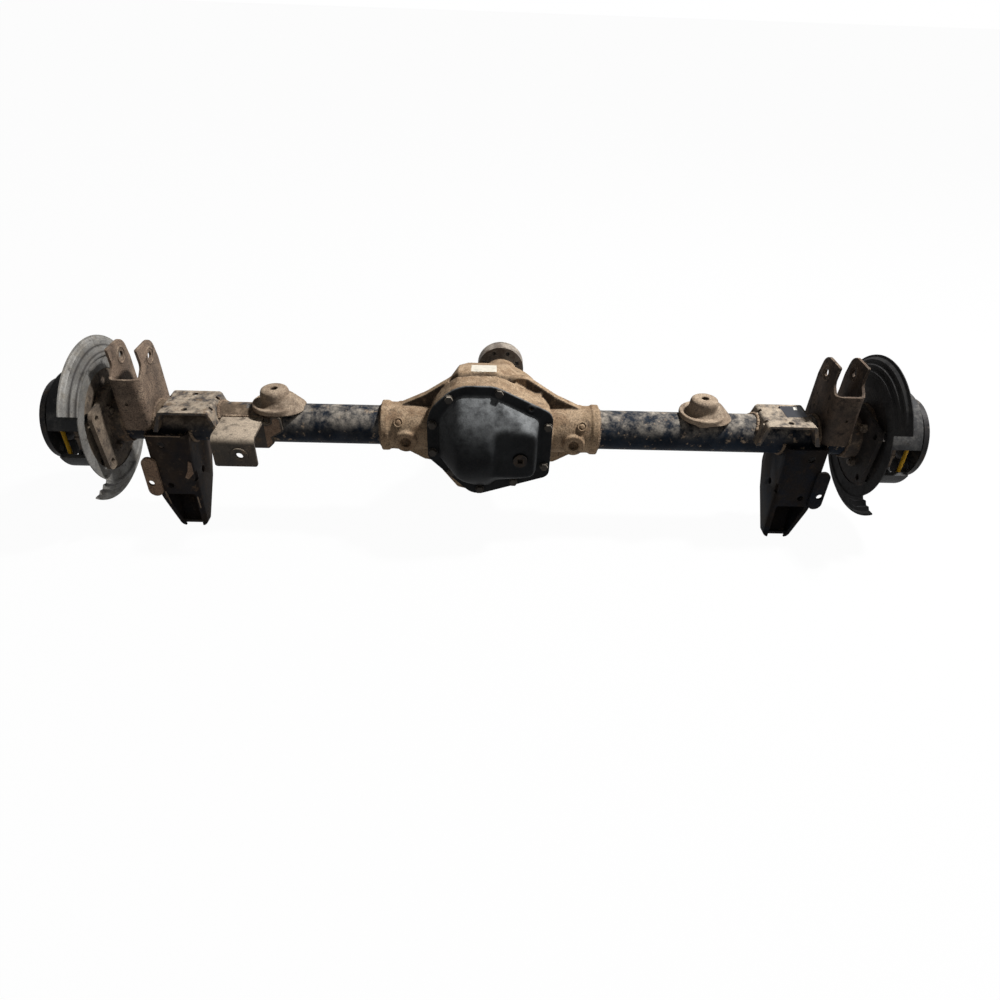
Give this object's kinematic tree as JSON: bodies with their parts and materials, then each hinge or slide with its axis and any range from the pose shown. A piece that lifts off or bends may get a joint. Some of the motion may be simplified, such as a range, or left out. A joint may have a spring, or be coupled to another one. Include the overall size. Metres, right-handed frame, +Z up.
{
  "type": "axle housing",
  "caption": "Rear drive axle: cast centre housing with a bolted cover, tubes, welded suspension brackets, brake plates and wheel flanges.",
  "frame": {"origin": "on the axle line, midway between the outer faces of the wheel flanges", "axes": "+X along the axle to the right seen from the cover side, +Y towards the pinion flange, +Z up"},
  "size_m": [1.66, 0.4397, 0.371],
  "materials": {
    "cast_iron": "rough rusted casting",
    "tube_paint": "worn satin paint with dust",
    "bracket_paint": "worn satin paint with rust",
    "dark_bracket": "worn satin paint",
    "cover_paint": "satin",
    "plug_paint": "satin",
    "pad_steel": "dusty matte",
    "hardware": "dull",
    "galvanised": "dull galvanised",
    "backing_steel": "dirty satin",
    "lining": "matte",
    "spring_yellow": "satin",
    "seal_rubber": "matte",
    "bearing_steel": "bright",
    "gear_steel": "machined",
    "rusty_steel": "dull rusty",
    "bare_iron": "as cast"
  },
  "bodies": {
    "housing": {"center_housing": "cast_iron", "axle_tube_left": "tube_paint", "axle_tube_right": "tube_paint", "tube_flange_left": "bracket_paint", "tube_flange_right": "bracket_paint", "bearing_caps": "bare_iron", "bearing_cap_bolts": "hardware", "diff_cover": "cover_paint", "cover_bolts": "hardware", "fill_plug": "plug_paint", "pinion_seal": "seal_rubber", "pinion_bearing_inner": "bearing_steel", "pinion_bearing_outer": "bearing_steel", "carrier_bearing_left": "bearing_steel", "carrier_bearing_right": "bearing_steel", "wheel_bearing_left": "bearing_steel", "wheel_bearing_right": "bearing_steel", "bearing_retainer_left": "hardware", "bearing_retainer_right": "hardware", "spring_perch_left": "tube_paint", "spring_perch_right": "tube_paint", "upper_arm_bracket_left": "bracket_paint", "upper_arm_bracket_right": "bracket_paint", "lower_arm_bracket_left": "dark_bracket", "lower_arm_bracket_right": "dark_bracket", "link_tab_left": "dark_bracket", "link_tab_right": "dark_bracket", "track_bar_bracket": "tube_paint", "bump_pad_left": "pad_steel", "bump_pad_right": "pad_steel", "backing_plate_left": "backing_steel", "backing_plate_right": "backing_steel", "dust_shield_left": "galvanised", "dust_shield_right": "galvanised", "caliper_bracket_left": "backing_steel", "caliper_bracket_right": "backing_steel", "flange_nuts_left": "hardware", "flange_nuts_right": "hardware", "park_shoes_left": "lining", "park_shoes_right": "lining", "shoe_adjuster_left": "hardware", "shoe_adjuster_right": "hardware", "shoe_spring_left": "spring_yellow", "shoe_spring_right": "spring_yellow"},
    "pinion": {"pinion_gear": "gear_steel", "pinion_flange": "rusty_steel", "pinion_nut": "gear_steel"},
    "carrier": {"ring_gear": "gear_steel", "ring_gear_bolts": "hardware", "differential_case": "bare_iron", "cross_pin": "bearing_steel"},
    "left_shaft": {"side_gear_left": "gear_steel", "axle_shaft_left": "rusty_steel"},
    "right_shaft": {"side_gear_right": "gear_steel", "axle_shaft_right": "rusty_steel"},
    "spider_upper": {"spider_gear_upper": "gear_steel"},
    "spider_lower": {"spider_gear_lower": "gear_steel"}
  },
  "joints": [
    {"name": "carrier_turn", "type": "hinge", "parent": "housing", "child": "carrier", "pos_m": [0, 0, 0], "axis": [1, 0, 0], "continuous": true},
    {"name": "pinion_turn", "type": "hinge", "parent": "housing", "child": "pinion", "pos_m": [0.022, 0, 0], "axis": [0, 1, 0], "continuous": true},
    {"name": "left_shaft_turn", "type": "hinge", "parent": "carrier", "child": "left_shaft", "pos_m": [0, 0, 0], "axis": [1, 0, 0], "continuous": true},
    {"name": "right_shaft_turn", "type": "hinge", "parent": "carrier", "child": "right_shaft", "pos_m": [0, 0, 0], "axis": [1, 0, 0], "continuous": true},
    {"name": "upper_spider_turn", "type": "hinge", "parent": "carrier", "child": "spider_upper", "pos_m": [0.022, 0, 0.04], "axis": [0, 0, 1], "continuous": true},
    {"name": "lower_spider_turn", "type": "hinge", "parent": "carrier", "child": "spider_lower", "pos_m": [0.022, 0, -0.04], "axis": [0, 0, 1], "continuous": true}
  ],
  "couplings": [
    {"joint": "pinion_turn", "follows": "carrier_turn", "ratio": 3.7273},
    {"joint": "right_shaft_turn", "follows": "left_shaft_turn", "ratio": -1},
    {"joint": "upper_spider_turn", "follows": "left_shaft_turn", "ratio": 1.6},
    {"joint": "lower_spider_turn", "follows": "left_shaft_turn", "ratio": -1.6}
  ]
}
